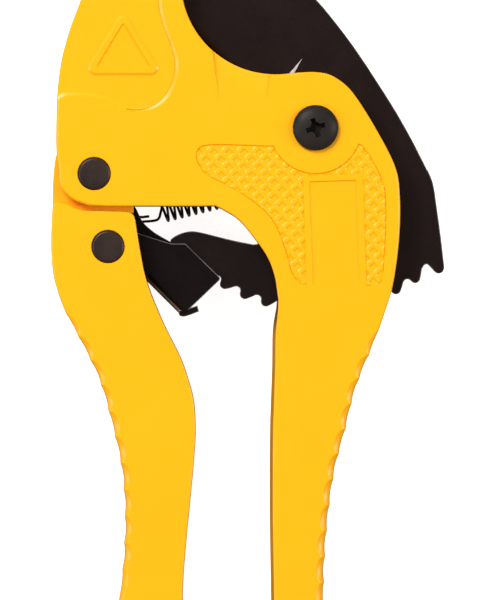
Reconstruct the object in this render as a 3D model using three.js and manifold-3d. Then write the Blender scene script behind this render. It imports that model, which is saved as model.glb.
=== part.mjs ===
// Ratchet cutter for PVC pipe up to 42 mm, lying on its back with the handles closed.
// Millimetres, +Z up. Everything is drawn round the blade pivot at x = 0, y = 0, with the back face at z = 0.
// The last lines move the whole cutter so that its box stands centred on the origin.
import * as THREE from 'three';
import { mergeVertices } from 'three/addons/utils/BufferGeometryUtils.js';
import Module from 'manifold-3d';

const wasm = await Module();
wasm.setup();

// Levels through the thickness.
const FACE_Z = 22;
const MID_Z = FACE_Z / 2;
const CHEEK = 3.5;
const CAVITY_HALF = MID_Z - CHEEK;
const SLOT_HALF = 2;
const EDGE_ROUND = 1.1;

// Shallow drawing on the front face of the body.
const PAD_SINK = 0.4;
const FIELD_SINK = 0.4;
const PANEL = { left: -2.9, right: 12.6, bottom: -39.8, top: -12.3 };
const PANEL_FRAME = 1;
const TRIANGLE = [[-55.2, 14.9], [-40.9, 14.9], [-48.05, 26.6]];
const TRIANGLE_FRAME = 1.8;

// Jaw.
const SEAT = { x: -10.1, y: 37, r: 23.5 };
const HOOK_TIP_ANGLE = 128;
const SEAT_START_ANGLE = -85.9;

// Blade. Angles of the ratchet are measured from +X, downwards.
const BLADE_HALF = 1.4;
const EDGE_SLOT_REACH = 6.7;
const BEVEL_WIDTH = 7;
const TOOTH_COUNT = 13;
const FIRST_TOOTH = 49.5;
const TOOTH_PITCH = 7.05;
const TOOTH_TIP_R = 46.4;
const END_TOOTH_EXTRA = 1.2;
const TAIL_SLOT_R = 48.4;
const TIP_SLOT_R = 67.5;
const SLOT_STOP_ANGLE = 146.3;

// Pivots.
const SCREW_R = 3;
const SCREW_HEAD_R = 5.72;
const SCREW_HEAD_H = 2.6;
const SLEEVE_R = 4.5;
const WASHER_R = 9;
const BOSS_R = 14;
const BOSS_RIM_R = 11.3;
const NUT_R = 5.77;
const NUT_TOP = 4;
const NUT_WASHER_R = 6.4;
const NUT_POCKET_R = 6.8;
const NUT_POCKET_DEPTH = 5;
const TONGUE_HALF = 7;
const LEVER_PIN = { x: -55.35, y: -11.45 };
const PAWL_PIN = { x: -51.9, y: -29.7 };
const PIN_HEAD_R = 4.05;
const PIN_HEAD_DEPTH = 2.2;
const PIN_R = 3;
const RUN = 0.1;
const CLIP_R = 5;
const CLIP_T = 0.8;
const LEVER_WASHER_R = 7;
const SHIM_GAP = 0.02;
const SPACER_GAP = 0.05;

// Pawl, a folded sheet.
const SHEET = 1.5;
const PAWL_INNER = 1.9;
const PAWL_OUTER = PAWL_INNER + SHEET;
const PAWL_EYE_R = 6;
const PAWL_SPACER_R = 4.4;

// Spring. Its axis runs behind the blade.
const WIRE_R = 0.3;
const COIL_R = 2.5;
const COIL_TURNS = 11;
const COIL_PITCH = 1.8;
const STEPS_PER_TURN = 16;
const HOOK_GAP = 0.05;
const COIL_START = { x: -38.4, y: -20.9 };
const SPRING_SLOPE = 14;
const SPRING_Z = MID_Z - 4.5;
const LEFT_POST = { x: -46.7, y: -23.2, r: 0.9 };
const RIGHT_POST = { x: -14.6, y: -15.1, r: 1.1 };

// Latch at the handle ends.
const LATCH_PIVOT = { x: -6.2, y: -136 };
const LATCH_REACH = 31;
const LATCH_HALF = 1;
const LATCH_PIN_R = 2;
const LATCH_SPACER_R = 3.2;
const CATCH_R = 1.6;
const CATCH_OFFSET = 1.2;
const NOTCH_HALF = 2.1;

// Grip scallops along the outer sides of both handles.
const SCALLOP_PITCH = 6.3;
const SCALLOP_DEPTH = 0.55;

const toRad = THREE.MathUtils.degToRad;

function polar(centre, r, degrees) {
  const a = toRad(degrees);
  return [centre.x + r * Math.cos(a), centre.y + r * Math.sin(a)];
}

function arc(centre, r, from, to, steps) {
  const points = [];
  for (let i = 0; i <= steps; i += 1) {
    points.push(polar(centre, r, from + ((to - from) * i) / steps));
  }
  return points;
}

// A smooth curve through the given points.
function smooth(points, stepsPerSpan = 4) {
  const curve = new THREE.CatmullRomCurve3(
    points.map(([x, y]) => new THREE.Vector3(x, y, 0)), false, 'centripetal');
  return curve.getPoints((points.length - 1) * stepsPerSpan).map((p) => [p.x, p.y]);
}

// The same curve with shallow round scallops pressed into its left-hand side, fading out at both ends.
function scalloped(points) {
  const curve = new THREE.CatmullRomCurve3(
    points.map(([x, y]) => new THREE.Vector3(x, y, 0)), false, 'centripetal');
  const length = curve.getLength();
  const bumps = Math.round(length / SCALLOP_PITCH);
  const steps = bumps * 4;
  const out = [];
  for (let i = 0; i <= steps; i += 1) {
    const u = i / steps;
    const p = curve.getPointAt(u);
    const t = curve.getTangentAt(u);
    const fade = Math.min(1, 6 * u, 6 * (1 - u));
    const dip = SCALLOP_DEPTH * fade * (1 - Math.abs(Math.sin(Math.PI * u * bumps)));
    out.push([p.x - t.y * dip, p.y + t.x * dip]);
  }
  return out;
}

function asManifold(geometry) {
  geometry.deleteAttribute('normal');
  geometry.deleteAttribute('uv');
  const merged = mergeVertices(geometry, 1e-4);
  return new wasm.Manifold(new wasm.Mesh({
    numProp: 3,
    vertProperties: merged.attributes.position.array,
    triVerts: merged.index.array,
  }));
}

function shapeOf(points) {
  return new THREE.Shape(points.map(([x, y]) => new THREE.Vector2(x, y)));
}

// A flat plate with straight sides between two levels.
function plate(points, z0, z1) {
  const g = new THREE.ExtrudeGeometry(shapeOf(points), { depth: z1 - z0, bevelEnabled: false });
  g.translate(0, 0, z0);
  return asManifold(g);
}

// A plate whose front and back edges are rounded over.
function roundedPlate(points, z0, z1, round) {
  const g = new THREE.ExtrudeGeometry(shapeOf(points), {
    depth: z1 - z0 - 2 * round,
    bevelEnabled: true,
    bevelThickness: round,
    bevelSize: round,
    bevelOffset: -round,
    bevelSegments: 2,
  });
  g.translate(0, 0, z0 + round);
  return asManifold(g);
}

function disc(centre, r, z0, z1, sides = 32) {
  const g = new THREE.CylinderGeometry(r, r, z1 - z0, sides);
  g.rotateX(Math.PI / 2);
  g.translate(centre.x, centre.y, (z0 + z1) / 2);
  return asManifold(g);
}

function ring(centre, outer, inner, z0, z1, sides = 32) {
  return disc(centre, outer, z0, z1, sides).subtract(disc(centre, inner, z0 - 1, z1 + 1, sides));
}

// A turned piece: the profile lists [radius, z] from the axis at the bottom to the axis at the top.
function turned(centre, profile, sides = 32) {
  const g = new THREE.LatheGeometry(profile.map(([r, z]) => new THREE.Vector2(r, z)), sides);
  g.rotateX(Math.PI / 2);
  g.rotateZ(Math.PI / 2);
  g.translate(centre.x, centre.y, 0);
  return asManifold(g);
}

const PIVOT = { x: 0, y: 0 };

function bodyOutline() {
  return [
    ...smooth([[-24.6, 55.5], [-25.4, 58.8], [-28.4, 62], [-33.5, 63.3], [-41, 60.5], [-48.5, 54],
      [-54.5, 44.5], [-58.9, 32], [-61.7, 24.5], [-63.7, 17], [-64.7, 9.5], [-65, 2], [-65, -5.5],
      [-64.5, -10], [-64.2, -14], [-62.9, -16.3], [-60.5, -18.2], [-56.9, -19.5]]),
    ...smooth([[-53, -19.65], [-25.1, -19.65]], 1),
    ...smooth([[-23.4, -20.5], [-19.6, -23], [-15.3, -28], [-12, -33], [-10.3, -38], [-9.8, -43],
      [-10.7, -50.5], [-10.9, -60], [-11.4, -75], [-11.5, -95], [-11.2, -115], [-10.9, -128],
      [-10.2, -138], [-7.5, -144.5], [-3, -146.5], [1.8, -144.8], [3.6, -139], [2.9, -130],
      [2.2, -120]]),
    ...scalloped([[2.1, -117.5], [2.6, -106.8], [3.6, -95.5], [5.1, -85.5], [7.7, -75.5],
      [10.2, -65.5], [14.1, -55.5], [16.2, -50]]),
    ...smooth([[17.2, -47], [19.2, -40.5], [21, -28], [21.2, -17], [20.3, -10.5], [15.4, -0.5],
      [8.9, 9.5], [6.1, 12], [3.1, 13.6], [-0.5, 14.1], [-4.5, 13.95]]),
    ...arc(SEAT, SEAT.r, SEAT_START_ANGLE, HOOK_TIP_ANGLE - 360 + 1, 60),
  ];
}

// The wide hollow between the cheeks and down the inside of the fixed handle.
function bodyCavityOutline() {
  return [
    [-75, 1], [-50, 1], [-44, -3], [-30, -8],
    ...arc(PIVOT, BOSS_R, 214, 338, 16),
    ...smooth([[15.4, -8.5], [16.4, -16], [16.4, -27], [14.6, -40], [11.4, -50], [9.4, -56],
      [5.5, -68], [1.6, -82], [-1, -95], [-2.2, -110], [-2.3, -128], [-3, -138], [-6, -141.5]]),
    [-20, -141.5], [-20, -45], [-75, -45],
  ];
}

// The narrow slot that the blade swings in.
function bladeSlot() {
  const z0 = MID_Z - SLOT_HALF;
  const z1 = MID_Z + SLOT_HALF;
  const tail = plate([[0, 0], ...arc(PIVOT, TAIL_SLOT_R, SLOT_STOP_ANGLE, 420, 70)], z0, z1);
  const side = EDGE_SLOT_REACH;
  const far = Math.sqrt(TIP_SLOT_R ** 2 - side ** 2);
  const farAngle = 225 - THREE.MathUtils.radToDeg(Math.acos(side / TIP_SLOT_R));
  const heel = [(-side + 5) * Math.SQRT1_2, (-side - 5) * Math.SQRT1_2];
  const tip = [(-side - far) * Math.SQRT1_2, (-side + far) * Math.SQRT1_2];
  const head = plate([heel, ...arc(PIVOT, TIP_SLOT_R, 0, farAngle, 30), tip], z0, z1);
  return tail.add(head);
}

// The sunk pad that covers the outer half of the hook.
function padRecess() {
  const edge = smooth([[-70, 6.6], [-64.5, 6.6], [-63.2, 7.8], [-56, 7.7], [-52.2, 6.9], [-48.3, 5],
    [-44.5, 4.1], [-40.7, 4.8], [-37.3, 7.1], [-34.9, 11.4], [-34.2, 15.7], [-35.2, 20],
    [-37.3, 25.8], [-38.5, 32], [-38, 41], [-35, 50], [-31, 57], [-26, 66]], 3);
  return plate([...edge, [-40, 75], [-85, 60], [-85, 6.6]], FACE_Z - PAD_SINK, FACE_Z + 1);
}

// The triangular frame that stands up from the pad to the level of the face.
function triangleFrame() {
  const corners = TRIANGLE.map(([x, y]) => disc({ x, y }, TRIANGLE_FRAME, FACE_Z - 1, FACE_Z, 24));
  return wasm.Manifold.hull(corners).subtract(plate(TRIANGLE, FACE_Z - PAD_SINK, FACE_Z + 1));
}

// The sunk field beside and below the blade pivot.
function fieldOutline() {
  return [
    ...smooth([[-11.2, -4.4], [-26.5, -4.1], [-28.8, -4.6], [-29.9, -6], [-29.7, -8.6], [-27.6, -11.6],
      [-22.5, -14.3], [-16.4, -18], [-11, -23], [-7.7, -30.5], [-6, -36.5], [-3.9, -39.2]], 3),
    ...smooth([[14.8, -39.6], [16.4, -38.6], [17.4, -31], [17.8, -21], [17.2, -14.3], [14, -7.4],
      [11.2, -4.2]], 3),
    ...arc(PIVOT, BOSS_RIM_R, -20, -158, 14),
  ];
}

// The name plate in the middle of the field, drawn inset by the given distance.
function panelOutline(inset) {
  const left = PANEL.left + inset;
  const right = PANEL.right - inset;
  const bottom = PANEL.bottom + inset;
  const top = PANEL.top - inset;
  return [[left, bottom], [right, bottom], [right, top], [left, top]];
}

function bodyCasting() {
  let solid = roundedPlate(bodyOutline(), 0, FACE_Z, EDGE_ROUND);
  solid = solid.subtract(padRecess()).add(triangleFrame());
  solid = solid.subtract(plate(bodyCavityOutline(), MID_Z - CAVITY_HALF, MID_Z + CAVITY_HALF));
  solid = solid.subtract(bladeSlot());
  const field = plate(fieldOutline(), FACE_Z - FIELD_SINK, FACE_Z + 1)
    .subtract(plate(panelOutline(0), FACE_Z - 2, FACE_Z + 2));
  solid = solid.subtract(field);
  solid = solid.subtract(plate(panelOutline(PANEL_FRAME), FACE_Z - FIELD_SINK, FACE_Z + 1));
  solid = solid.subtract(disc(PIVOT, SCREW_R + RUN, -1, FACE_Z + 1));
  solid = solid.subtract(disc(PIVOT, NUT_POCKET_R, -1, NUT_POCKET_DEPTH));
  solid = solid.subtract(pinHole(LEVER_PIN));
  solid = solid.subtract(disc(LATCH_PIVOT, LATCH_PIN_R + RUN, -1, FACE_Z + 1, 24));
  return solid;
}

// Hole for a headed pin: countersunk for its head in front and for its clip behind.
function pinHole(centre) {
  return disc(centre, PIN_R + RUN, -1, FACE_Z + 1)
    .add(disc(centre, PIN_HEAD_R + RUN, FACE_Z - PIN_HEAD_DEPTH, FACE_Z + 1))
    .add(disc(centre, CLIP_R + 0.3, -1, CLIP_T + 0.2));
}

function headedPin(centre) {
  return turned(centre, [[0, 0.3], [PIN_R - 0.4, 0.3], [PIN_R, 0.7], [PIN_R, FACE_Z - PIN_HEAD_DEPTH],
    [PIN_HEAD_R, FACE_Z - PIN_HEAD_DEPTH], [PIN_HEAD_R, FACE_Z - 0.35], [PIN_HEAD_R - 0.45, FACE_Z],
    [0, FACE_Z]]);
}

function pinClip(centre) {
  return ring(centre, CLIP_R, PIN_R, 0.2, CLIP_T + 0.2);
}

function leverOutline() {
  return [
    ...smooth([[-65.8, -18.3], [-66.1, -22], [-66.3, -30], [-65.7, -37], [-64, -43], [-62.4, -47]]),
    ...scalloped([[-61.6, -48.6], [-59.2, -53], [-54.4, -63], [-51.5, -73], [-49.2, -83], [-48.3, -90],
      [-48, -99], [-48.4, -108], [-49.2, -117]]),
    ...smooth([[-49.6, -120], [-50.6, -127], [-51.7, -134], [-51.3, -140], [-47.5, -145.3],
      [-42, -146.3], [-36.5, -143.5], [-33.8, -137], [-33, -127], [-33.1, -115.5], [-32.2, -103],
      [-31.2, -93], [-30.3, -83], [-29.9, -75.5], [-30.4, -68], [-31.7, -63], [-33.4, -58],
      [-38.3, -48], [-42.2, -38], [-44.2, -28], [-45.1, -22.8], [-46.4, -21]], 3),
    ...smooth([[-53.9, -20.7], [-57.6, -20.6], [-60.2, -20], [-62.4, -19], [-64, -18.3]], 2),
  ];
}

function tongueOutline() {
  return [
    ...smooth([[-66, -19], [-65.6, -11.5], [-64.6, -6], [-61, -2.4], [-55.3, -1.7], [-49.6, -4],
      [-46.4, -9], [-46.1, -13.5], [-45.4, -18]], 4),
    [-45.6, -22], [-50, -26], [-64, -26],
  ];
}

function leverCavityOutline() {
  return [
    ...smooth([[-60, -22.2], [-62, -27], [-62, -34], [-60, -42], [-57.5, -47.5], [-50.3, -62.8],
      [-47.2, -73.5], [-45, -83.5], [-44, -92], [-43.8, -100], [-44.2, -110], [-45.5, -122],
      [-46.8, -134], [-45.5, -140], [-41, -142]], 3),
    [-25, -142], [-25, -40], [-40, -21.2], [-50, -21.2],
  ];
}

function leverCasting() {
  let solid = roundedPlate(leverOutline(), 0, FACE_Z, EDGE_ROUND);
  solid = solid.add(plate(tongueOutline(), MID_Z - TONGUE_HALF, MID_Z + TONGUE_HALF));
  solid = solid.subtract(plate(leverCavityOutline(), MID_Z - CAVITY_HALF, MID_Z + CAVITY_HALF));
  const armSlot = plate([[-56, -24], [-40, -24], [-40, -13.5], [-56, -13.5]], MID_Z - 4.2, MID_Z + 4.2)
    .subtract(disc(LEVER_PIN, 8.2, 0, FACE_Z));
  solid = solid.subtract(armSlot);
  solid = solid.subtract(disc(LEVER_PIN, PIN_R + RUN, -1, FACE_Z + 1));
  solid = solid.subtract(pinHole(PAWL_PIN));
  solid = solid.subtract(disc(catchCentre(), CATCH_R, -1, FACE_Z + 1, 24));
  return solid;
}

// One ratchet tooth, from its steep face round the tip and down its long flank: [degrees, radius].
const TOOTH_PROFILE = [[2.7, 44.25], [2, 44.7], [1.65, 45.6], [1.1, 46.2], [0.4, TOOTH_TIP_R],
  [-0.5, 46.3], [-2, 45.3], [-3.4, 44.3]];

function ratchetPoints() {
  const points = [];
  for (let i = TOOTH_COUNT - 1; i >= 0; i -= 1) {
    const tip = FIRST_TOOTH + TOOTH_PITCH * i;
    const extra = i === 0 ? END_TOOTH_EXTRA : 0;
    for (const [turn, r] of TOOTH_PROFILE) {
      const rise = r > 45 ? extra : 0;
      if (i > 0 || turn > -1) points.push(polar(PIVOT, r + rise, -(tip + turn)));
    }
  }
  return points;
}

const EDGE_TIP = [-46, 38.3];
const EDGE_HEEL = [-14.5, 6.8];

function bladeOutline() {
  return [
    ...smooth([[32.4, -34.8], [31.35, -28], [30.35, -21], [29.2, -13.5], [28.2, -10.6], [24.35, -3],
      [20.1, 4.5], [15.35, 12], [8.6, 22], [0.6, 32], [-9.5, 42], [-20, 50], [-30, 54.8], [-38, 54.5],
      [-43.5, 48.5], EDGE_TIP]),
    ...smooth([EDGE_HEEL, [-13, 2.5], [-13.3, -4], [-12.6, -12], [-12.2, -20], [-12.8, -26],
      [-14.6, -29]]),
    ...smooth([[-15.6, -29.1], [-21.4, -27.9], [-29.7, -25.9], [-31.4, -25.8], [-33.9, -26.4],
      [-36.3, -27.9], [-36.4, -28.9]], 3),
    ...ratchetPoints(),
    [32, -35.9],
  ];
}

// One side of the ground edge: a long wedge laid along the cutting edge.
function bevelCutter(side) {
  const length = Math.hypot(EDGE_TIP[0] - EDGE_HEEL[0], EDGE_TIP[1] - EDGE_HEEL[1]);
  const lift = BLADE_HALF * side;
  const wedge = new THREE.Shape([
    new THREE.Vector2(-1, 0.12 * side),
    new THREE.Vector2(0, 0.12 * side),
    new THREE.Vector2(BEVEL_WIDTH, lift),
    new THREE.Vector2(BEVEL_WIDTH, lift + side),
    new THREE.Vector2(-1, lift + side),
  ]);
  const g = new THREE.ExtrudeGeometry(wedge, { depth: length + 12, bevelEnabled: false });
  const inward = new THREE.Vector3(Math.SQRT1_2, Math.SQRT1_2, 0);
  const up = new THREE.Vector3(0, 0, 1);
  const along = new THREE.Vector3().crossVectors(inward, up);
  g.applyMatrix4(new THREE.Matrix4().makeBasis(inward, up, along));
  const start = along.x < 0 ? EDGE_HEEL : EDGE_TIP;
  g.translate(start[0], start[1], MID_Z);
  return asManifold(g);
}

function blade() {
  let solid = plate(bladeOutline(), MID_Z - BLADE_HALF, MID_Z + BLADE_HALF);
  solid = solid.subtract(bevelCutter(1)).subtract(bevelCutter(-1));
  return solid.subtract(disc(PIVOT, SLEEVE_R + RUN, 0, FACE_Z));
}

function pivotScrew() {
  const top = FACE_Z + SCREW_HEAD_H;
  let solid = turned(PIVOT, [[0, 0.4], [SCREW_R - 0.5, 0.4], [SCREW_R, 0.9], [SCREW_R, FACE_Z],
    [SCREW_HEAD_R, FACE_Z], [SCREW_HEAD_R, FACE_Z + 0.8], [SCREW_HEAD_R - 0.5, FACE_Z + 1.6],
    [SCREW_HEAD_R - 1.7, top - 0.4], [2.4, top], [0, top]]);
  for (const turn of [18.5, 108.5]) {
    const g = new THREE.BoxGeometry(4.9, 1.15, 3.2);
    g.rotateZ(toRad(turn));
    g.translate(0, 0, top);
    solid = solid.subtract(asManifold(g));
  }
  return solid;
}

function pivotNut() {
  return disc(PIVOT, NUT_R, 0.2, NUT_TOP, 6).subtract(disc(PIVOT, SCREW_R, -1, NUT_TOP + 1));
}

// One cheek of the pawl, in front of the middle for side 1 and behind it for side -1.
function pawlFlange(points, side) {
  const z0 = side > 0 ? PAWL_INNER : -PAWL_OUTER;
  return plate(points, MID_Z + z0, MID_Z + z0 + SHEET);
}

// Lower end of the fold and the fold's corner near the pawl pin.
const FOLD_END = [-33.9, -46.7];
const FOLD_TOP = [-42.6, -38];

function pawl() {
  const eye = arc(PAWL_PIN, PAWL_EYE_R, 250, 96, 10);
  const plainShoulder = [[-44.2, -26.4]];
  const raisedArm = [[-48, -19.9], [-46.6, -18.6], [-45.3, -19.6], [-43.3, -23.4], [-40.6, -25.9],
    [-36.6, -28.3]];
  const nose = [[-35.7, -29], [-32.8, -28.9], [-32.1, -29.5], [-24.9, -36.5], [-24.1, -37.4],
    [-24.3, -38.6], [-32.3, -46.4], [-33.6, -47], FOLD_TOP];
  const inward = SHEET * Math.SQRT1_2;
  const web = [FOLD_TOP, FOLD_END, [FOLD_END[0] + inward, FOLD_END[1] + inward],
    [FOLD_TOP[0] + inward, FOLD_TOP[1] + inward]].reverse();
  const tongue = [[-34.1, -46.8], [-33, -47.2], [-29.2, -45.9], [-29.6, -44.4], [-32.6, -45.4]];
  const front = pawlFlange([...eye, ...plainShoulder, ...nose], 1);
  const back = pawlFlange([...eye, ...raisedArm, ...nose], -1);
  let solid = front.add(back);
  solid = solid.add(plate(web, MID_Z - PAWL_OUTER, MID_Z + PAWL_OUTER));
  solid = solid.add(plate(tongue, MID_Z - PAWL_OUTER, MID_Z + PAWL_OUTER));
  return solid.subtract(disc(PAWL_PIN, PIN_R + RUN, 0, FACE_Z));
}

// A closed round wire along a list of points.
function wire(points, radius, sides = 6) {
  const positions = [];
  const index = [];
  let normal = new THREE.Vector3(0, 0, 1);
  points.forEach((p, i) => {
    const before = points[Math.max(i - 1, 0)];
    const after = points[Math.min(i + 1, points.length - 1)];
    const t = after.clone().sub(before).normalize();
    normal = normal.clone().sub(t.clone().multiplyScalar(normal.dot(t))).normalize();
    const other = t.clone().cross(normal);
    for (let k = 0; k < sides; k += 1) {
      const a = (2 * Math.PI * k) / sides;
      positions.push(...p.clone()
        .addScaledVector(normal, radius * Math.cos(a))
        .addScaledVector(other, radius * Math.sin(a)).toArray());
    }
    if (i === 0) return;
    for (let k = 0; k < sides; k += 1) {
      const a = (i - 1) * sides + k;
      const b = (i - 1) * sides + ((k + 1) % sides);
      index.push(a, b, b + sides, a, b + sides, a + sides);
    }
  });
  const last = (points.length - 1) * sides;
  for (let k = 1; k < sides - 1; k += 1) {
    index.push(0, k + 1, k);
    index.push(last, last + k, last + k + 1);
  }
  const g = new THREE.BufferGeometry();
  g.setAttribute('position', new THREE.Float32BufferAttribute(positions, 3));
  g.setIndex(index);
  return new wasm.Manifold(new wasm.Mesh({
    numProp: 3,
    vertProperties: g.attributes.position.array,
    triVerts: Uint32Array.from(index),
  }));
}

function springPath() {
  const along = new THREE.Vector3(Math.cos(toRad(SPRING_SLOPE)), Math.sin(toRad(SPRING_SLOPE)), 0);
  const across = new THREE.Vector3(-along.y, along.x, 0);
  const start = new THREE.Vector3(COIL_START.x, COIL_START.y, SPRING_Z);
  const points = [];
  const hook = (list) => list.forEach(([x, y]) => points.push(new THREE.Vector3(x, y, SPRING_Z)));
  // Left hook: free end, round the lever's post and back to the first coil.
  const bend = LEFT_POST.r + WIRE_R + HOOK_GAP;
  hook([[-41.7, -22], [-43.6, -22.2]]);
  hook(arc(LEFT_POST, bend, 75, 262, 8));
  hook([[-43.5, -23.35], [-40.6, -23.1], [-39.4, -22.6], [-38.9, -21.6]]);
  const steps = COIL_TURNS * STEPS_PER_TURN;
  for (let i = 0; i <= steps; i += 1) {
    const a = Math.PI / 2 + (2 * Math.PI * i) / STEPS_PER_TURN;
    const grow = Math.min(1, (i + 2) / 6, (steps - i + 2) / 6);
    points.push(start.clone()
      .addScaledVector(along, (COIL_PITCH * i) / STEPS_PER_TURN)
      .addScaledVector(across, COIL_R * grow * Math.sin(a))
      .add(new THREE.Vector3(0, 0, COIL_R * grow * Math.cos(a))));
  }
  const loop = RIGHT_POST.r + WIRE_R + HOOK_GAP;
  hook(arc(RIGHT_POST, loop, 160, -150, 12));
  return points;
}

function returnSpring() {
  return wire(springPath(), WIRE_R);
}

// A stub post for a spring hook, standing on the back cheek.
function post(centre) {
  return disc(centre, centre.r, MID_Z - CAVITY_HALF, MID_Z - 3.4, 20);
}

// Where the lever's catch pin sits once the latch has swung a quarter turn down over it.
function catchCentre() {
  return { x: LATCH_PIVOT.x - LATCH_REACH, y: LATCH_PIVOT.y - CATCH_OFFSET };
}

// The latch parked along the inside of the fixed handle, hook end up.
function latchPlate() {
  const { x, y } = LATCH_PIVOT;
  const floor = CATCH_R + 0.15 - CATCH_OFFSET;
  const outline = [
    ...arc(LATCH_PIVOT, 3.6, 180, 360, 12),
    [x + 2.4, y + LATCH_REACH + 3.2], [x + 1.2, y + LATCH_REACH + 4.2],
    [x - 2.4, y + LATCH_REACH + 4.2], [x - 3.6, y + LATCH_REACH + 3],
    [x - 3.6, y + LATCH_REACH + NOTCH_HALF], [x + floor, y + LATCH_REACH + NOTCH_HALF],
    [x + floor, y + LATCH_REACH - NOTCH_HALF], [x - 3.6, y + LATCH_REACH - NOTCH_HALF - 0.6],
  ];
  return plate(outline, MID_Z - LATCH_HALF, MID_Z + LATCH_HALF)
    .subtract(disc(LATCH_PIVOT, LATCH_PIN_R + RUN, 0, FACE_Z, 24));
}

function crossPin(centre, r) {
  return turned(centre, [[0, 0.2], [r - 0.3, 0.2], [r, 0.5], [r, FACE_Z - 0.5], [r - 0.3, FACE_Z - 0.2],
    [0, FACE_Z - 0.2]], 24);
}

const FINISHES = {
  yellow_paint: { color: 0xffc614, roughness: 0.38, metalness: 0 },
  blade_steel: { color: 0x231c1a, roughness: 0.5, metalness: 0.7 },
  pawl_steel: { color: 0x1c1816, roughness: 0.55, metalness: 0.6 },
  pin_steel: { color: 0x2b2424, roughness: 0.5, metalness: 0.7 },
  zinc_steel: { color: 0xb9bcc0, roughness: 0.35, metalness: 1 },
  spring_steel: { color: 0x141212, roughness: 0.4, metalness: 0.8 },
};

function meshFrom(solid, finish, name) {
  const m = solid.getMesh();
  const g = new THREE.BufferGeometry();
  g.setAttribute('position', new THREE.Float32BufferAttribute(m.vertProperties, 3));
  g.setIndex(new THREE.BufferAttribute(Uint32Array.from(m.triVerts), 1));
  const flat = g.toNonIndexed();
  flat.computeVertexNormals();
  const mesh = new THREE.Mesh(flat, new THREE.MeshStandardMaterial(FINISHES[finish]));
  mesh.material.name = finish;
  mesh.name = name;
  return mesh;
}

// A ring in front of the middle plane, between two distances from it.
function ringInFront(centre, outer, inner, near, far, sides) {
  return ring(centre, outer, inner, MID_Z + near, MID_Z + far, sides);
}

function ringBehind(centre, outer, inner, near, far, sides) {
  return ring(centre, outer, inner, MID_Z - far, MID_Z - near, sides);
}

// Each pair of rings fills the gap beside a moving piece: outer radius, bore, nearest and farthest level.
const BLADE_WASHER = [PIVOT, WASHER_R, SLEEVE_R + RUN, BLADE_HALF + SHIM_GAP, SLOT_HALF - SHIM_GAP];
const LEVER_WASHER = [LEVER_PIN, LEVER_WASHER_R, PIN_R + RUN, TONGUE_HALF + SHIM_GAP, CAVITY_HALF - SHIM_GAP];
const PAWL_SPACER = [PAWL_PIN, PAWL_SPACER_R, PIN_R + RUN, PAWL_OUTER + SPACER_GAP, CAVITY_HALF];
const LATCH_SPACER = [LATCH_PIVOT, LATCH_SPACER_R, LATCH_PIN_R + RUN, LATCH_HALF + SPACER_GAP, CAVITY_HALF];

const PIECES = [
  ['body_casting', 'yellow_paint', bodyCasting()],
  ['lever_casting', 'yellow_paint', leverCasting()],
  ['blade', 'blade_steel', blade()],
  ['pivot_screw', 'pin_steel', pivotScrew()],
  ['pivot_sleeve', 'zinc_steel', ringInFront(PIVOT, SLEEVE_R, SCREW_R + RUN, -SLOT_HALF, SLOT_HALF)],
  ['blade_washer_front', 'zinc_steel', ringInFront(...BLADE_WASHER)],
  ['blade_washer_back', 'zinc_steel', ringBehind(...BLADE_WASHER)],
  ['pivot_nut_washer', 'zinc_steel', ring(PIVOT, NUT_WASHER_R, SCREW_R + RUN, NUT_TOP, NUT_POCKET_DEPTH)],
  ['pivot_nut', 'zinc_steel', pivotNut()],
  ['lever_pin', 'pin_steel', headedPin(LEVER_PIN)],
  ['lever_pin_clip', 'zinc_steel', pinClip(LEVER_PIN)],
  ['lever_washer_front', 'zinc_steel', ringInFront(...LEVER_WASHER)],
  ['lever_washer_back', 'zinc_steel', ringBehind(...LEVER_WASHER)],
  ['pawl', 'pawl_steel', pawl()],
  ['pawl_pin', 'pin_steel', headedPin(PAWL_PIN)],
  ['pawl_pin_clip', 'zinc_steel', pinClip(PAWL_PIN)],
  ['pawl_spacer_front', 'zinc_steel', ringInFront(...PAWL_SPACER)],
  ['pawl_spacer_back', 'zinc_steel', ringBehind(...PAWL_SPACER)],
  ['return_spring', 'spring_steel', returnSpring()],
  ['spring_post_lever', 'zinc_steel', post(LEFT_POST)],
  ['spring_post_body', 'zinc_steel', post(RIGHT_POST)],
  ['latch_plate', 'zinc_steel', latchPlate()],
  ['latch_rivet', 'zinc_steel', crossPin(LATCH_PIVOT, LATCH_PIN_R)],
  ['latch_spacer_front', 'zinc_steel', ringInFront(...LATCH_SPACER)],
  ['latch_spacer_back', 'zinc_steel', ringBehind(...LATCH_SPACER)],
  ['latch_catch_pin', 'zinc_steel', crossPin(catchCentre(), CATCH_R)],
];

const cutter = new THREE.Group();
cutter.name = 'pipe_cutter';
for (const [name, finish, solid] of PIECES) cutter.add(meshFrom(solid, finish, name));

const box = new THREE.Box3().setFromObject(cutter);
cutter.position.set(-(box.min.x + box.max.x) / 2, -(box.min.y + box.max.y) / 2, -box.min.z);

export default cutter;
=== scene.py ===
"""Looks of the ratchet pipe cutter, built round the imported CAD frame.

Shapes are drawn in millimetres round the blade pivot, as seen from above: +X right, +Y towards the hook,
z = 0 at the back face. place() turns them into metres in the row frame.
"""

import math

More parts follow.
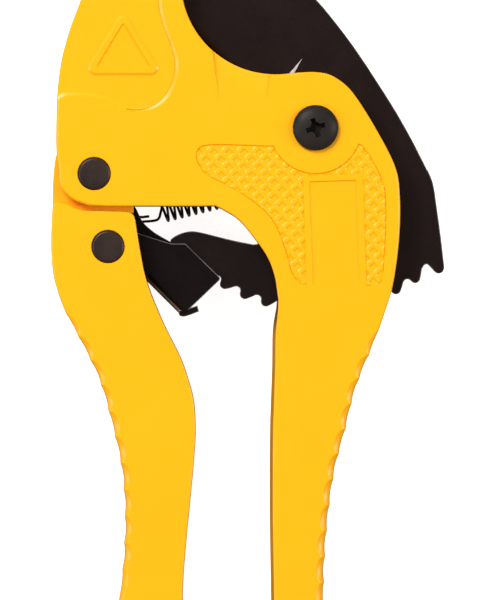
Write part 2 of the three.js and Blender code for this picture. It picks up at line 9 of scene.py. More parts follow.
import bmesh
import bpy
import numpy as np
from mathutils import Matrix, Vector

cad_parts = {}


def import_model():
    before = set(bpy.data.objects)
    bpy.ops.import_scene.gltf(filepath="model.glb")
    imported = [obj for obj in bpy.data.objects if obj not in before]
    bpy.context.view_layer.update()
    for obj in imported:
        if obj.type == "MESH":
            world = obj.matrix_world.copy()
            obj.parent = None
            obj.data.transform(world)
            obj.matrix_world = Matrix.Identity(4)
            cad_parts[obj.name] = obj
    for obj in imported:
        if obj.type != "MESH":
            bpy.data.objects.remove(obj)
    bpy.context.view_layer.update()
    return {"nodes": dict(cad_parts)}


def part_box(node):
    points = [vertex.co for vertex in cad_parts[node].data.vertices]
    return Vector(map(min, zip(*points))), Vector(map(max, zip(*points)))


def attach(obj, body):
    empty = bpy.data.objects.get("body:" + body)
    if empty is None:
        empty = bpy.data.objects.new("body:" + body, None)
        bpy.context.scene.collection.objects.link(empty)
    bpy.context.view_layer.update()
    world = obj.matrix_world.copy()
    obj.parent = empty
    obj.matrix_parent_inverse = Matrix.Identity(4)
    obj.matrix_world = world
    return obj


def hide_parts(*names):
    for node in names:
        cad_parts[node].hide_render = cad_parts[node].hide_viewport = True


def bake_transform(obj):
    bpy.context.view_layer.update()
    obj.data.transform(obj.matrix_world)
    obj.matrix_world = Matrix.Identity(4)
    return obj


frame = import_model()

# ---------------------------------------------------------------- driving sizes, in millimetres

MM = 0.001

# Castings: thicknesses, then how their edges and flanks are rounded.
FACE_Z = 22.0
MID_Z = FACE_Z / 2
CAVITY_HALF = 7.5
TONGUE_HALF = 7.0
ARM_SLOT_HALF = 4.2
HUB_R = 8.2
SLOT_HALF = 2.0
HEAD_EDGE_R = 0.8
FLANK_R = 1.35
FLANK_DROP = 2.4
SLIM_R = 0.7
SCOOP_TAPER = 0.7
INNER_EDGE_R = 0.35
FRONT_SETBACK = 0.8
SCALLOP_PITCH = 6.55
BAND_HALF = 3.4
SEAM_HALF = 0.15

# The pipe seat, the pivots and what turns on them.
SEAT = (-10.1, 37.0)
SEAT_R = 23.5
PIVOT = (0.0, 0.0)
LEVER_PIN = (-55.35, -11.45)
PAWL_PIN = (-51.9, -29.7)
LATCH_PIVOT = (-6.2, -136)
LATCH_HOLE_R = 2.1
CATCH_PIN = (-37.2, -137.2)
CATCH_HOLE_R = 1.65
PIN_R = 3.0
PIN_HEAD_R = 4.05
PIN_HEAD_DEPTH = 2.2
PIN_PROUD = 0.3
RUN = 0.1
CLIP_POCKET_R = 5.3
CLIP_POCKET_DEPTH = 1.0
NUT_POCKET_R = 6.8
NUT_POCKET_DEPTH = 5.0
SCREW_R = 3.0
SCREW_HEAD_R = 5.72
SCREW_HEAD_H = 2.6
RECESS_TURN = 18.5
BOSS_R = 11.3
BOSS_INSIDE_R = 14.0

# Relief on the front face.
PAD_SINK = 0.42
PAD_WALL = 0.9
GROOVE_SHIFT = np.array([-0.92, 0.36])
TRIANGLE_WALL = 0.65
TRIANGLE_RECESS = 0.36
FIELD_SINK = 0.4
PANEL_SINK = 0.32
PLATE_CENTRE = (4.8, -26.15)
PLATE_TURN = 2.0
PLATE_HALF = 7.35
PLATE_BOTTOM = -20.0
PLATE_TOP = 14.35
PANEL_HALF = 6.0
PANEL_REACH = 13.0

# Blade, and the slots that it swings in.
BLADE_HALF = 1.4
EDGE_HEEL = (-14.5, 6.8)
EDGE_TIP = (-46.0, 38.3)
BEVEL_WIDTH = 3.4
HONED_WIDTH = 0.85
SLEEVE_R = 4.5
TOOTH_COUNT = 13
FIRST_TOOTH = 49.0
TOOTH_PITCH = 7.1
TOOTH_TIP_R = 46.4
TAIL_SLOT_R = 48.4
HEAD_SLOT_R = 67.5
HEAD_SLOT_SIDE = 6.7
SLOT_STOP_ANGLE = 146.3

# Pawl, folded from one sheet.
SHEET = 1.5
PAWL_INNER = 1.9
PAWL_OUTER = PAWL_INNER + SHEET
PAWL_EYE_R = 6.0

# Return spring and its two posts.
WIRE_R = 0.35
COIL_R = 2.5
COIL_TURNS = 11
COIL_PITCH = 1.8
COIL_START = (-38.4, -20.9)
SPRING_SLOPE = 14.0
SPRING_Z = MID_Z - 4.5
LEVER_POST = (-46.7, -23.2)
LEVER_POST_R = 0.9
BODY_POST = (-14.6, -15.1)
BODY_POST_R = 1.1

screw_low, screw_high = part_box("pivot_screw")
ORIGIN_X = (screw_low[0] + screw_high[0]) / 2
ORIGIN_Y = (screw_low[1] + screw_high[1]) / 2


def place(points):
    """Millimetres round the pivot to metres in the row frame."""
    p = np.asarray(points, float) * MM
    return p + np.array([ORIGIN_X, ORIGIN_Y, 0.0])


# ---------------------------------------------------------------- flat drawing


def spline(points, spacing=0.8):
    """Points evenly spaced along a smooth curve through the given ones (centripetal Catmull-Rom)."""
    p = [np.array(q, float) for q in points]
    p = [2 * p[0] - p[1], *p, 2 * p[-1] - p[-2]]
    fine = []
    for p0, p1, p2, p3 in zip(p, p[1:], p[2:], p[3:]):
        t0 = 0.0
        t1 = t0 + math.sqrt(np.linalg.norm(p1 - p0))
        t2 = t1 + math.sqrt(np.linalg.norm(p2 - p1))
        t3 = t2 + math.sqrt(np.linalg.norm(p3 - p2))
        for t in np.linspace(t1, t2, 24, endpoint=False):
            a1 = (t1 - t) / (t1 - t0) * p0 + (t - t0) / (t1 - t0) * p1
            a2 = (t2 - t) / (t2 - t1) * p1 + (t - t1) / (t2 - t1) * p2
            a3 = (t3 - t) / (t3 - t2) * p2 + (t - t2) / (t3 - t2) * p3
            b1 = (t2 - t) / (t2 - t0) * a1 + (t - t0) / (t2 - t0) * a2
            b2 = (t3 - t) / (t3 - t1) * a2 + (t - t1) / (t3 - t1) * a3
            fine.append((t2 - t) / (t2 - t1) * b1 + (t - t1) / (t2 - t1) * b2)
    fine.append(p[-2])
    return resample(np.array(fine), spacing)


def resample(line, spacing):
    """The same line with evenly spaced points."""
    steps = np.linalg.norm(np.diff(line, axis=0), axis=1)
    along = np.concatenate([[0], np.cumsum(steps)])
    count = max(1, round(along[-1] / spacing))
    wanted = np.linspace(0, along[-1], count + 1)
    return np.column_stack([np.interp(wanted, along, line[:, k]) for k in (0, 1)])


def arc(centre, r, start, end, spacing=0.8):
    """Points on a circle from one angle to another, in degrees."""
    count = max(2, round(abs(math.radians(end - start)) * r / spacing))
    a = np.radians(np.linspace(start, end, count + 1))
    return np.column_stack([centre[0] + r * np.cos(a), centre[1] + r * np.sin(a)])


def circle(centre, r, sides=64):
    a = np.linspace(0, 2 * math.pi, sides, endpoint=False)
    return np.column_stack([centre[0] + r * np.cos(a), centre[1] + r * np.sin(a)])


def turned_flat(points, degrees):
    """Points turned anticlockwise about the origin."""
    a = math.radians(degrees)
    return np.array(points, float) @ np.array([(math.cos(a), math.sin(a)), (-math.sin(a), math.cos(a))])


def rounded_polygon(corners, r, steps=8):
    """A polygon, anticlockwise, whose corners are rounded with radius r."""
    out = []
    count = len(corners)
    for i in range(count):
        c = np.array(corners[i], float)
        a = np.array(corners[i - 1], float) - c
        b = np.array(corners[(i + 1) % count], float) - c
        a /= np.linalg.norm(a)
        b /= np.linalg.norm(b)
        half = math.acos(float(np.clip(a @ b, -1, 1))) / 2
        centre = c + (a + b) / np.linalg.norm(a + b) * r / math.sin(half)
        start = c + a * r / math.tan(half) - centre
        end = c + b * r / math.tan(half) - centre
        a0 = math.atan2(start[1], start[0])
        turn = (math.atan2(end[1], end[0]) - a0 + math.pi) % (2 * math.pi) - math.pi
        for k in range(steps + 1):
            angle = a0 + turn * k / steps
            out.append(centre + r * np.array([math.cos(angle), math.sin(angle)]))
    return np.array(out)


def closed(*runs):
    """Joins runs of points into one anticlockwise loop without doubled points."""
    line = np.concatenate([np.asarray(r, float) for r in runs])
    gap = np.linalg.norm(line - np.roll(line, 1, axis=0), axis=1)
    line = line[gap > 0.02]
    return line if signed_area(line) > 0 else line[::-1]


def signed_area(loop):
    x, y = loop[:, 0], loop[:, 1]
    return 0.5 * float(np.sum(x * np.roll(y, -1) - np.roll(x, -1) * y))


def inward(loop):
    """Unit step inwards at every point of an anticlockwise loop, longer at corners to keep sides parallel."""
    before = loop - np.roll(loop, 1, axis=0)
    after = np.roll(loop, -1, axis=0) - loop
    before /= np.linalg.norm(before, axis=1)[:, None]
    after /= np.linalg.norm(after, axis=1)[:, None]
    n0 = np.column_stack([-before[:, 1], before[:, 0]])
    n1 = np.column_stack([-after[:, 1], after[:, 0]])
    mid = n0 + n1
    mid /= np.maximum(np.linalg.norm(mid, axis=1), 1e-6)[:, None]
    return mid / np.clip(np.sum(mid * n0, axis=1), 0.5, 1)[:, None]


# ---------------------------------------------------------------- solids


def solid(name, vertices, faces):
    """A mesh object from vertices in millimetres round the pivot."""
    mesh = bpy.data.meshes.new(name)
    mesh.from_pydata(place(vertices).tolist(), [], faces)
    mesh.validate()
    obj = bpy.data.objects.new(name, mesh)
    bpy.context.scene.collection.objects.link(obj)
    return obj


def untangled(ring, loop):
    """Draws together the points of an inset ring wherever the inset has turned a short side round."""
    side = np.roll(loop, -1, axis=0) - loop
    side /= np.linalg.norm(side, axis=1)[:, None]
    ring = ring.copy()
    for _ in range(60):
        ahead = np.roll(ring, -1, axis=0) - ring
        turned_round = np.sum(ahead * side, axis=1) < 0
        if not turned_round.any():
            break
        for i in np.flatnonzero(turned_round):
            j = (i + 1) % len(ring)
            middle = (ring[i] + ring[j]) / 2
            ring[i] = middle - side[i] * 0.002
            ring[j] = middle + side[i] * 0.002
    return ring


def loft(name, loop, rings):
    """A closed solid from an outline. Each ring is (z, inset), and inset may differ from point to point."""
    step = inward(loop)
    count = len(loop)
    vertices = []
    for z, inset in rings:
        flat = loop + step * np.broadcast_to(np.asarray(inset, float), (count,))[:, None]
        flat = untangled(flat, loop)
        vertices.append(np.column_stack([flat, np.full(count, 1.0) * z]))
    vertices = np.concatenate(vertices)
    faces = []
    for k in range(len(rings) - 1):
        for i in range(count):
            j = (i + 1) % count
            faces.append((k * count + i, k * count + j, (k + 1) * count + j, (k + 1) * count + i))
    top = (len(rings) - 1) * count
    faces.append(tuple(reversed(range(count))))
    faces.append(tuple(range(top, top + count)))
    return solid(name, vertices, faces)


def prism(name, loop, z0, z1, chamfer=0.0):
    """An upright solid from an outline, with chamfered rims where asked for."""
    if chamfer:
        return loft(name, loop, [(z0, chamfer), (z0 + chamfer, 0), (z1 - chamfer, 0), (z1, chamfer)])
    return loft(name, loop, [(z0, 0), (z1, 0)])


def sunk(name, loop, depth, slope):
    """A cutter for a shallow recess in the front face, with walls that slope over the given width."""
    over = 0.5
    grow = -slope * over / depth
    return loft(name, loop, [(FACE_Z - depth, slope), (FACE_Z + over, grow)])


def turned(name, centre, profile, sides=64):
    """A turned piece from its profile of (radius, z), bottom to top. The first and last radius are 0."""
    vertices = [(*centre, profile[0][1])]
    for r, z in profile[1:-1]:
        for x, y in circle(centre, r, sides):
            vertices.append((x, y, z))
    vertices.append((*centre, profile[-1][1]))
    faces = []
    rings = len(profile) - 2
    for i in range(sides):
        j = (i + 1) % sides
        faces.append((0, 1 + j, 1 + i))
        for k in range(rings - 1):
            a, b = 1 + k * sides, 1 + (k + 1) * sides
            faces.append((a + i, a + j, b + j, b + i))
        last = 1 + (rings - 1) * sides
        faces.append((last + i, last + j, len(vertices) - 1))
    return solid(name, vertices, faces)


def outwards(obj):
    """Turns every face of a closed solid outwards."""
    bm = bmesh.new()
    bm.from_mesh(obj.data)
    bmesh.ops.recalc_face_normals(bm, faces=bm.faces)
    bm.to_mesh(obj.data)
    bm.free()
    return obj


def swept(name, start, end, across, section):
    """A bar from start to end. Its section is a list of (step across, z)."""
    vertices = []
    for foot in (start, end):
        for step, z in section:
            vertices.append((*(foot + across * step), z))
    count = len(section)
    faces = [tuple(range(count)), tuple(reversed(range(count, 2 * count)))]
    for i in range(count):
        j = (i + 1) % count
        faces.append((j, i, count + i, count + j))
    return outwards(solid(name, vertices, faces))


def combine(target, others, operation):
    """Joins to or cuts from target each of the other solids, and removes them."""
    for other in others:
        step = target.modifiers.new(operation, "BOOLEAN")
        step.operation = operation
        step.solver = "MANIFOLD"
        step.object = other
    bpy.context.view_layer.update()
    result = target.evaluated_get(bpy.context.evaluated_depsgraph_get())
    mesh = bpy.data.meshes.new_from_object(result)
    target.modifiers.clear()
    target.data = mesh
    for other in others:
        bpy.data.objects.remove(other)
    return target


def cut(target, *others):
    return combine(target, others, "DIFFERENCE")


def join(target, *others):
    return combine(target, others, "UNION")


def soften(obj, degrees=32):
    """Smooth shading except across edges sharper than the angle, with flat faces kept flat."""
    bm = bmesh.new()
    bm.from_mesh(obj.data)
    bmesh.ops.remove_doubles(bm, verts=bm.verts, dist=2e-6)
    bmesh.ops.dissolve_limit(bm, angle_limit=math.radians(0.4), verts=bm.verts, edges=bm.edges)
    for face in bm.faces:
        face.smooth = True
    for edge in bm.edges:
        edge.smooth = len(edge.link_faces) == 2 and edge.calc_face_angle(0) < math.radians(degrees)
    bm.to_mesh(obj.data)
    bm.free()
    weight = obj.modifiers.new("flat faces stay flat", "WEIGHTED_NORMAL")
    weight.mode = "FACE_AREA"
    weight.weight = 80
    weight.keep_sharp = True
    return obj


# ---------------------------------------------------------------- materials


def material(name):
    mat = bpy.data.materials.new(name)
    mat.use_nodes = True
    nodes = mat.node_tree.nodes
    return mat, nodes, mat.node_tree.links, nodes["Principled BSDF"]


def noise(nodes, links, coords, scale, detail=3.0, rough=0.5, stretch=None):
    """A noise texture in object space, in features per metre."""
    tex = nodes.new("ShaderNodeTexNoise")
    tex.inputs["Scale"].default_value = scale
    tex.inputs["Detail"].default_value = detail
    tex.inputs["Roughness"].default_value = rough
    source = coords.outputs["Object"]
    if stretch:
        mapping = nodes.new("ShaderNodeMapping")
        mapping.inputs["Scale"].default_value = stretch
        links.new(source, mapping.inputs["Vector"])
        source = mapping.outputs["Vector"]
    links.new(source, tex.inputs["Vector"])
    return tex.outputs["Fac"]


def spread(nodes, links, value, low, high):
    """Stretches a 0 to 1 value to a range."""
    node = nodes.new("ShaderNodeMapRange")
    node.inputs["From Min"].default_value = 0.3
    node.inputs["From Max"].default_value = 0.7
    node.inputs["To Min"].default_value = low
    node.inputs["To Max"].default_value = high
    links.new(value, node.inputs["Value"])
    return node.outputs["Result"]


def mix_colours(nodes, links, factor, first, second):
    node = nodes.new("ShaderNodeMix")
    node.data_type = "RGBA"
    links.new(factor, node.inputs["Factor"])
    node.inputs["A"].default_value = (*first, 1)
    node.inputs["B"].default_value = (*second, 1)
    return node.outputs["Result"]


def bumps(nodes, links, height, strength, distance, shader):
    node = nodes.new("ShaderNodeBump")
    node.inputs["Strength"].default_value = strength
    node.inputs["Distance"].default_value = distance
    links.new(height, node.inputs["Height"])
    links.new(node.outputs["Normal"], shader.inputs["Normal"])


def yellow_paint(name, first, second):
    """Powder coat with a fine orange peel."""
    mat, nodes, links, shader = material(name)
    coords = nodes.new("ShaderNodeTexCoord")
    cloud = noise(nodes, links, coords, 60, 4)
    tone = mix_colours(nodes, links, spread(nodes, links, cloud, 0, 1), first, second)
    links.new(tone, shader.inputs["Base Color"])
    fine = noise(nodes, links, coords, 900, 3)
    links.new(spread(nodes, links, fine, 0.28, 0.35), shader.inputs["Roughness"])
    shader.inputs["Specular IOR Level"].default_value = 0.36
    peel = noise(nodes, links, coords, 1400, 2)
    bumps(nodes, links, peel, 0.12, 0.00006, shader)
    return mat


def black_steel(name, dark, light, roughness, metallic=0.0, gloss=0.35, grain=None):
    """Black-oxide steel, clouded between two tones and rough within a range."""
    mat, nodes, links, shader = material(name)
    coords = nodes.new("ShaderNodeTexCoord")
    cloud = noise(nodes, links, coords, 120, 6, 0.6)
    tone = mix_colours(nodes, links, spread(nodes, links, cloud, 0, 1), dark, light)
    links.new(tone, shader.inputs["Base Color"])
    fine = noise(nodes, links, coords, 1500, 4, 0.6, grain)
    links.new(spread(nodes, links, fine, *roughness), shader.inputs["Roughness"])
    shader.inputs["Metallic"].default_value = metallic
    shader.inputs["Specular IOR Level"].default_value = gloss
    bumps(nodes, links, fine, 0.15, 0.00008, shader)
    return mat


def bare_steel(name, tone, rough, grain):
    """Uncoated steel with the streaks of grinding or plating."""
    mat, nodes, links, shader = material(name)
    coords = nodes.new("ShaderNodeTexCoord")
    lines = noise(nodes, links, coords, 700, 4, 0.6, grain)
    darker = tuple(0.75 * c for c in tone)
    streaked = mix_colours(nodes, links, spread(nodes, links, lines, 0, 1), darker, tone)
    links.new(streaked, shader.inputs["Base Color"])
    links.new(spread(nodes, links, lines, rough, rough + 0.15), shader.inputs["Roughness"])
    shader.inputs["Metallic"].default_value = 0.7
    bumps(nodes, links, lines, 0.2, 0.00005, shader)
    return mat


PAINT = yellow_paint("yellow_paint", (0.94, 0.405, 0.0), (0.96, 0.42, 0.001))
# A darker copy of the yellow paint: painted shade for the floor of the hollow between the cheeks.
PAINT_HOLLOW_SHADE = yellow_paint("yellow_paint_painted_shade", (0.42, 0.2, 0.001), (0.5, 0.25, 0.002))
BLADE_BLACK = black_steel("blade_steel", (0.0055, 0.0016, 0.001), (0.0095, 0.0036, 0.003), (0.3, 0.38),
                          gloss=0.22, grain=(1, 1, 6))
PAWL_BLACK = black_steel("pawl_steel", (0.0026, 0.001, 0.0006), (0.0062, 0.003, 0.0024), (0.3, 0.38),
                         gloss=0.15)
PIN_BLACK = black_steel("pin_steel", (0.012, 0.0055, 0.0045), (0.032, 0.0175, 0.014), (0.32, 0.42),
                        gloss=0.28)
SCREW_BLACK = black_steel("screw_steel", (0.013, 0.0105, 0.0085), (0.023, 0.018, 0.015), (0.38, 0.46),
                          gloss=0.12)
SPRING_BLACK = black_steel("spring_steel", (0.002, 0.002, 0.002), (0.005, 0.004, 0.004), (0.3, 0.4))
# Light grey steel for the narrow chamfers: edge wear and a painted edge highlight.
WORN_AND_HIGHLIGHT = black_steel("worn_steel_edge_highlight", (0.05, 0.044, 0.04), (0.3, 0.29, 0.28), (0.3, 0.4), metallic=0.2)
GROUND = bare_steel("ground_edge", (0.86, 0.86, 0.88), 0.28, (1, 1, 12))
ZINC = bare_steel("zinc_steel", (0.6, 0.605, 0.62), 0.3, (1, 1, 4))


def finish_with(obj, mat):
    obj.data.materials.clear()
    obj.data.materials.append(mat)
    return obj


# ---------------------------------------------------------------- outlines of the two castings


def stitched(sections):
    """Joins sections of (points, edge radius at both ends, draft, scallop size at both ends) into one loop.

    The draft is one number, or one for the front and one for the back.
    """
    loop, radius, draft, dip = [], [], [], []
    for points, edges, lean, scallops in sections:
        along = np.concatenate([[0], np.cumsum(np.linalg.norm(np.diff(points, axis=0), axis=1))])
        u = along / along[-1]
        scoops = round(along[-1] / SCALLOP_PITCH)
        fade = np.clip(np.minimum(5 * u, 5 * (1 - u)) + 0.4, 0, 1)
        size = scallops[0] + (scallops[1] - scallops[0]) * u
        loop.append(points)
        radius.append(edges[0] + (edges[1] - edges[0]) * u)
        draft.append(np.full((len(points), 2), lean))
        dip.append(size * fade * np.abs(np.sin(math.pi * scoops * u)) ** 0.75)
    loop = np.concatenate(loop)
    values = [np.concatenate(v) for v in (radius, draft, dip)]
    keep = np.linalg.norm(loop - np.roll(loop, 1, axis=0), axis=1) > 0.05
    loop = loop[keep]
    radius, draft, dip = (v[keep] for v in values)
    if signed_area(loop) < 0:
        loop, radius, draft, dip = loop[::-1], radius[::-1], draft[::-1], dip[::-1]
    front_draft, back_draft = evened(draft[:, 0], 4), evened(draft[:, 1], 4)
    return loop, evened(radius, 2), (front_draft, back_draft), dip


def evened(values, reach):
    """Running mean round a loop."""
    kernel = np.ones(2 * reach + 1) / (2 * reach + 1)
    wrapped = np.concatenate([values[-reach:], values, values[:reach]])
    return np.convolve(wrapped, kernel, "valid")


# Inset from the silhouette and drop below the face, down the middle of a grip scoop.
SCOOP = [(2.15, 0), (2.05, 0.12), (1.88, 0.28), (1.55, 0.45), (1.15, 0.66), (0.78, 1.05), (0.5, 2.6)]

# Angles of the quarter ellipse that rounds a plain edge, one for each step of SCOOP.
EDGE_ANGLES = [90, 76, 62, 48, 34, 18, 0]


def casting(name, sections):
    """A thick plate with rounded edges, a parting line at its middle and scooped grip flanks.

    The edge runs down a quarter ellipse. Where the flank is scooped it runs down SCOOP instead, which drops
    steeply from the face and then slopes out to the parting line.
    """
    loop, radius, (front_draft, back_draft), scooped = stitched(sections)
    swell = np.clip((radius - HEAD_EDGE_R) / (FLANK_R - HEAD_EDGE_R), 0, 1)
    depth = radius * (1 + swell * (FLANK_DROP / FLANK_R - 1))

    def half(draft):
        rings = []
        for a, (scoop_inset, scoop_drop) in zip(np.radians(EDGE_ANGLES), SCOOP):
            inset = radius * (1 - math.cos(a)) * (1 - scooped) + scoop_inset * scooped
            drop = depth * (1 - math.sin(a)) * (1 - scooped) + scoop_drop * scooped
            rings.append((MID_Z - drop, inset + draft))
        rings.append((BAND_HALF, draft - 0.55 * np.minimum(draft, 0.15) + 0.42 * scooped))
        rings.append((SEAM_HALF, 0.05 + 0.38 * scooped))
        return rings

    rings = [(MID_Z - np.asarray(z), inset) for z, inset in half(back_draft)]
    rings += [(MID_Z + np.asarray(z), inset) for z, inset in reversed(half(front_draft))]
    return loft(name, loop, rings)


# Edge radius at both ends of a run round the head, and the scallops of a run that has none.
HEAD = (HEAD_EDGE_R, HEAD_EDGE_R)
PLAIN = (0, 0)

BODY_SECTIONS = [
    (spline([(-24.6, 55.5), (-25.4, 58.8), (-28.4, 62), (-33.5, 63.2), (-41, 60.5), (-48.5, 54),
             (-54.5, 44.5), (-58.9, 32), (-61.7, 24.5), (-63.7, 17), (-64.7, 9.5), (-65, 2), (-65, -5.5),
             (-64.5, -10), (-64.2, -14), (-62.9, -16.3), (-60.5, -18.2), (-56.9, -19.5)]),
     HEAD, 0.15, PLAIN),
    (spline([(-54, -19.65), (-25.1, -19.65)]), (0.4, 0.4), 0.1, PLAIN),
    (spline([(-23.4, -20.5), (-19.6, -23), (-15.3, -28), (-12, -33), (-10.3, -38), (-9.8, -43)]),
     (0.4, INNER_EDGE_R), 0.3, PLAIN),
    (spline([(-9.9, -45), (-10.7, -50.5), (-10.9, -60), (-11.4, -75), (-11.5, -95), (-11.2, -115),
             (-10.9, -128), (-10.2, -138)]),
     (INNER_EDGE_R, INNER_EDGE_R), (FRONT_SETBACK, 0.05), PLAIN),
    (spline([(-10, -139), (-7.5, -144.5), (-3, -146.4), (1.8, -144.8), (3.6, -139), (2.9, -130),
             (2.2, -121.8)]),
     (0.8, FLANK_R), 0.3, PLAIN),
    (spline([(2.1, -120.2), (2.6, -106.8), (3.6, -95.5), (5.1, -85.5), (7.7, -75.5), (10.2, -65.5),
             (14.1, -55.5), (15.9, -50.8)], 0.4),
     (FLANK_R, SLIM_R), 0.15, (1, SCOOP_TAPER)),
    (spline([(17.2, -47), (19.2, -40.5), (21, -28), (21.2, -17), (20.3, -10.5), (15.4, -0.5), (8.9, 9.5),
             (6.1, 12), (3.1, 13.6), (-0.5, 14.1), (-4.5, 13.95)]), (SLIM_R, 0.5), 0.12, PLAIN),
    (arc(SEAT, SEAT_R, -85.9, -231), (0.6, 0.6), 0.1, PLAIN),
]

LEVER_SECTIONS = [
    (spline([(-65.9, -19.6), (-66.1, -22), (-66.3, -30), (-65.7, -37), (-64, -43), (-63.2, -45)]),
     (0.5, SLIM_R), 0.15, PLAIN),
    (spline([(-62.6, -46.5), (-59.2, -53), (-54.4, -63), (-51.5, -73), (-49.2, -83), (-48.3, -90),
             (-48, -99), (-48.4, -108), (-49.2, -117)], 0.4),
     (SLIM_R, FLANK_R), 0.15, (SCOOP_TAPER, 1)),
    (spline([(-49.6, -120), (-50.6, -127), (-51.7, -134), (-51.3, -140), (-47.5, -145.3), (-42, -146.2),
             (-36.5, -143.5), (-33.8, -137)]), (FLANK_R, 0.8), 0.3, PLAIN),
    (spline([(-33.5, -133), (-33, -127), (-33.1, -115.5), (-32.2, -103), (-31.2, -93), (-30.3, -83),
             (-29.9, -75.5), (-30.4, -68), (-31.7, -63), (-33.4, -58), (-38.3, -48), (-42.2, -38),
             (-44.2, -28), (-45.0, -23)]),
     (0.5, 0.4), 0.15, PLAIN),
    (spline([(-45.3, -22), (-45.9, -21.3), (-47, -21), (-53.9, -20.7), (-57.6, -20.6), (-60.2, -20),
             (-62.4, -19), (-64.6, -18.5), (-65.4, -18.7)], 0.4),
     (0.4, 0.4), 0.1, PLAIN),
]


# ---------------------------------------------------------------- body


def body_cavity():
    """The hollow between the cheeks, open towards the lever."""
    loop = closed(
        [(-75, 1), (-50, 1), (-44, -3), (-30, -8)],
        arc(PIVOT, BOSS_INSIDE_R, 214, 338),
        spline([(15.4, -8.5), (16.4, -16), (16.4, -27), (14.6, -40), (11.4, -50), (9.4, -56), (5.5, -68),
                (1.6, -82), (-1, -95), (-2.2, -110), (-2.3, -128), (-3, -138), (-6, -141.5)], 1.5),
        [(-20, -141.5), (-20, -45), (-75, -45)],
    )
    return prism("cavity", loop, MID_Z - CAVITY_HALF, MID_Z + CAVITY_HALF)


def blade_slots():
    """One slot for the toothed tail, whose end stops the opened blade, and one for the blade itself."""
    z0, z1 = MID_Z - SLOT_HALF, MID_Z + SLOT_HALF
    tail = prism("tail slot", closed([PIVOT], arc(PIVOT, TAIL_SLOT_R, SLOT_STOP_ANGLE, 420, 1.5)), z0, z1)
    side, reach = HEAD_SLOT_SIDE, HEAD_SLOT_R
    far = math.sqrt(reach**2 - side**2)
    diagonal = math.sqrt(0.5)
    heel = ((-side + 5) * diagonal, (-side - 5) * diagonal)
    tip = ((-side - far) * diagonal, (-side + far) * diagonal)
    tip_angle = 225 - math.degrees(math.acos(side / reach))
    head = prism("head slot", closed([heel], arc(PIVOT, reach, 0, tip_angle, 2), [tip]), z0, z1)
    return tail, head


def pad_recess():
    """The sunk pad below the hook, with a fine groove at the foot of its wall."""
    edge = spline([(-70, 6.6), (-64.5, 6.6), (-63.2, 7.8), (-56, 7.7), (-52.2, 6.9), (-48.3, 5),
                   (-44.5, 4.1), (-40.7, 4.8), (-37.3, 7.1), (-34.9, 11.4), (-34.2, 15.7), (-35.2, 20),
                   (-37.3, 25.8), (-38.5, 32), (-38, 41), (-35, 50), (-31, 57), (-26, 66)])
    pad = sunk("pad", closed(edge, [(-40, 75), (-85, 60), (-85, 6)]), PAD_SINK, PAD_WALL)
    groove = ribbon("pad groove", edge[edge[:, 0] > -47], 0.2, FACE_Z - PAD_SINK - 0.08, FACE_Z)
    return pad, groove


def ribbon(name, line, width, z0, z1):
    """A narrow upright band along a line."""
    t = np.gradient(line, axis=0)
    t /= np.linalg.norm(t, axis=1)[:, None]
    side = np.column_stack([-t[:, 1], t[:, 0]]) * width / 2
    return prism(name, closed(line + side + GROOVE_SHIFT, (line - side + GROOVE_SHIFT)[::-1]), z0, z1)


def triangle_frame():
    """The raised plain triangle on the pad, still filled."""
    outer = rounded_polygon([(-58.4, 13.1), (-37.7, 13.1), (-48.05, 29.9)], 1.9)
    base = FACE_Z - PAD_SINK
    return loft("triangle", outer, [(base - 1, 0), (base, 0), (FACE_Z, TRIANGLE_WALL)])


def triangle_recess():
    """What is taken out of the triangle to leave its rim."""
    inner = rounded_polygon([(-55.2, 14.9), (-40.9, 14.9), (-48.05, 26.6)], 0.5)
    return sunk("triangle recess", inner, TRIANGLE_RECESS, 0.35)


def field_outline():
    """The knurled field: a wide wing on the left, a narrow one on the right and the boss above."""
    return closed(
        spline([(-11.6, -4.4), (-26.5, -4.1), (-28.8, -4.6), (-29.9, -6), (-29.7, -8.6), (-27.6, -11.6),
                (-22.5, -14.3), (-16.4, -18), (-11, -23), (-7.7, -30.5), (-6, -36.5), (-3.9, -39.2)]),
        spline([(14.8, -39.6), (16.4, -38.6), (17.4, -31), (17.8, -21), (17.2, -14.3), (14, -7.4),
                (11.6, -4.2)]),
        arc(PIVOT, BOSS_R, -20, -157.5),
    )


def plate_rectangle(left, right, bottom, top):
    """A rectangle in the plain plate's own frame, which stands a little askew on the face."""
    corners = [(left, bottom), (right, bottom), (right, top), (left, top)]
    return turned_flat(corners, PLATE_TURN) + PLATE_CENTRE


def plate_frame():
    return plate_rectangle(-PLATE_HALF, PLATE_HALF, PLATE_BOTTOM, PLATE_TOP)


def field_recess():
    """The knurled field's recess, which leaves the plain plate standing in it."""
    cutter = sunk("field", field_outline(), FIELD_SINK, 0.3)
    foot = -0.25
    rings = [(FACE_Z - 2, foot), (FACE_Z - FIELD_SINK, foot), (FACE_Z + 1, 0.4)]
    return cut(cutter, loft("plate", plate_frame(), rings))


def panel_recess():
    """The shallow blank panel inside the plate."""
    corners = plate_rectangle(-PANEL_HALF, PANEL_HALF, -PANEL_REACH, PANEL_REACH)
    return sunk("panel recess", rounded_polygon(corners, 0.3, 3), PANEL_SINK, 0.3)


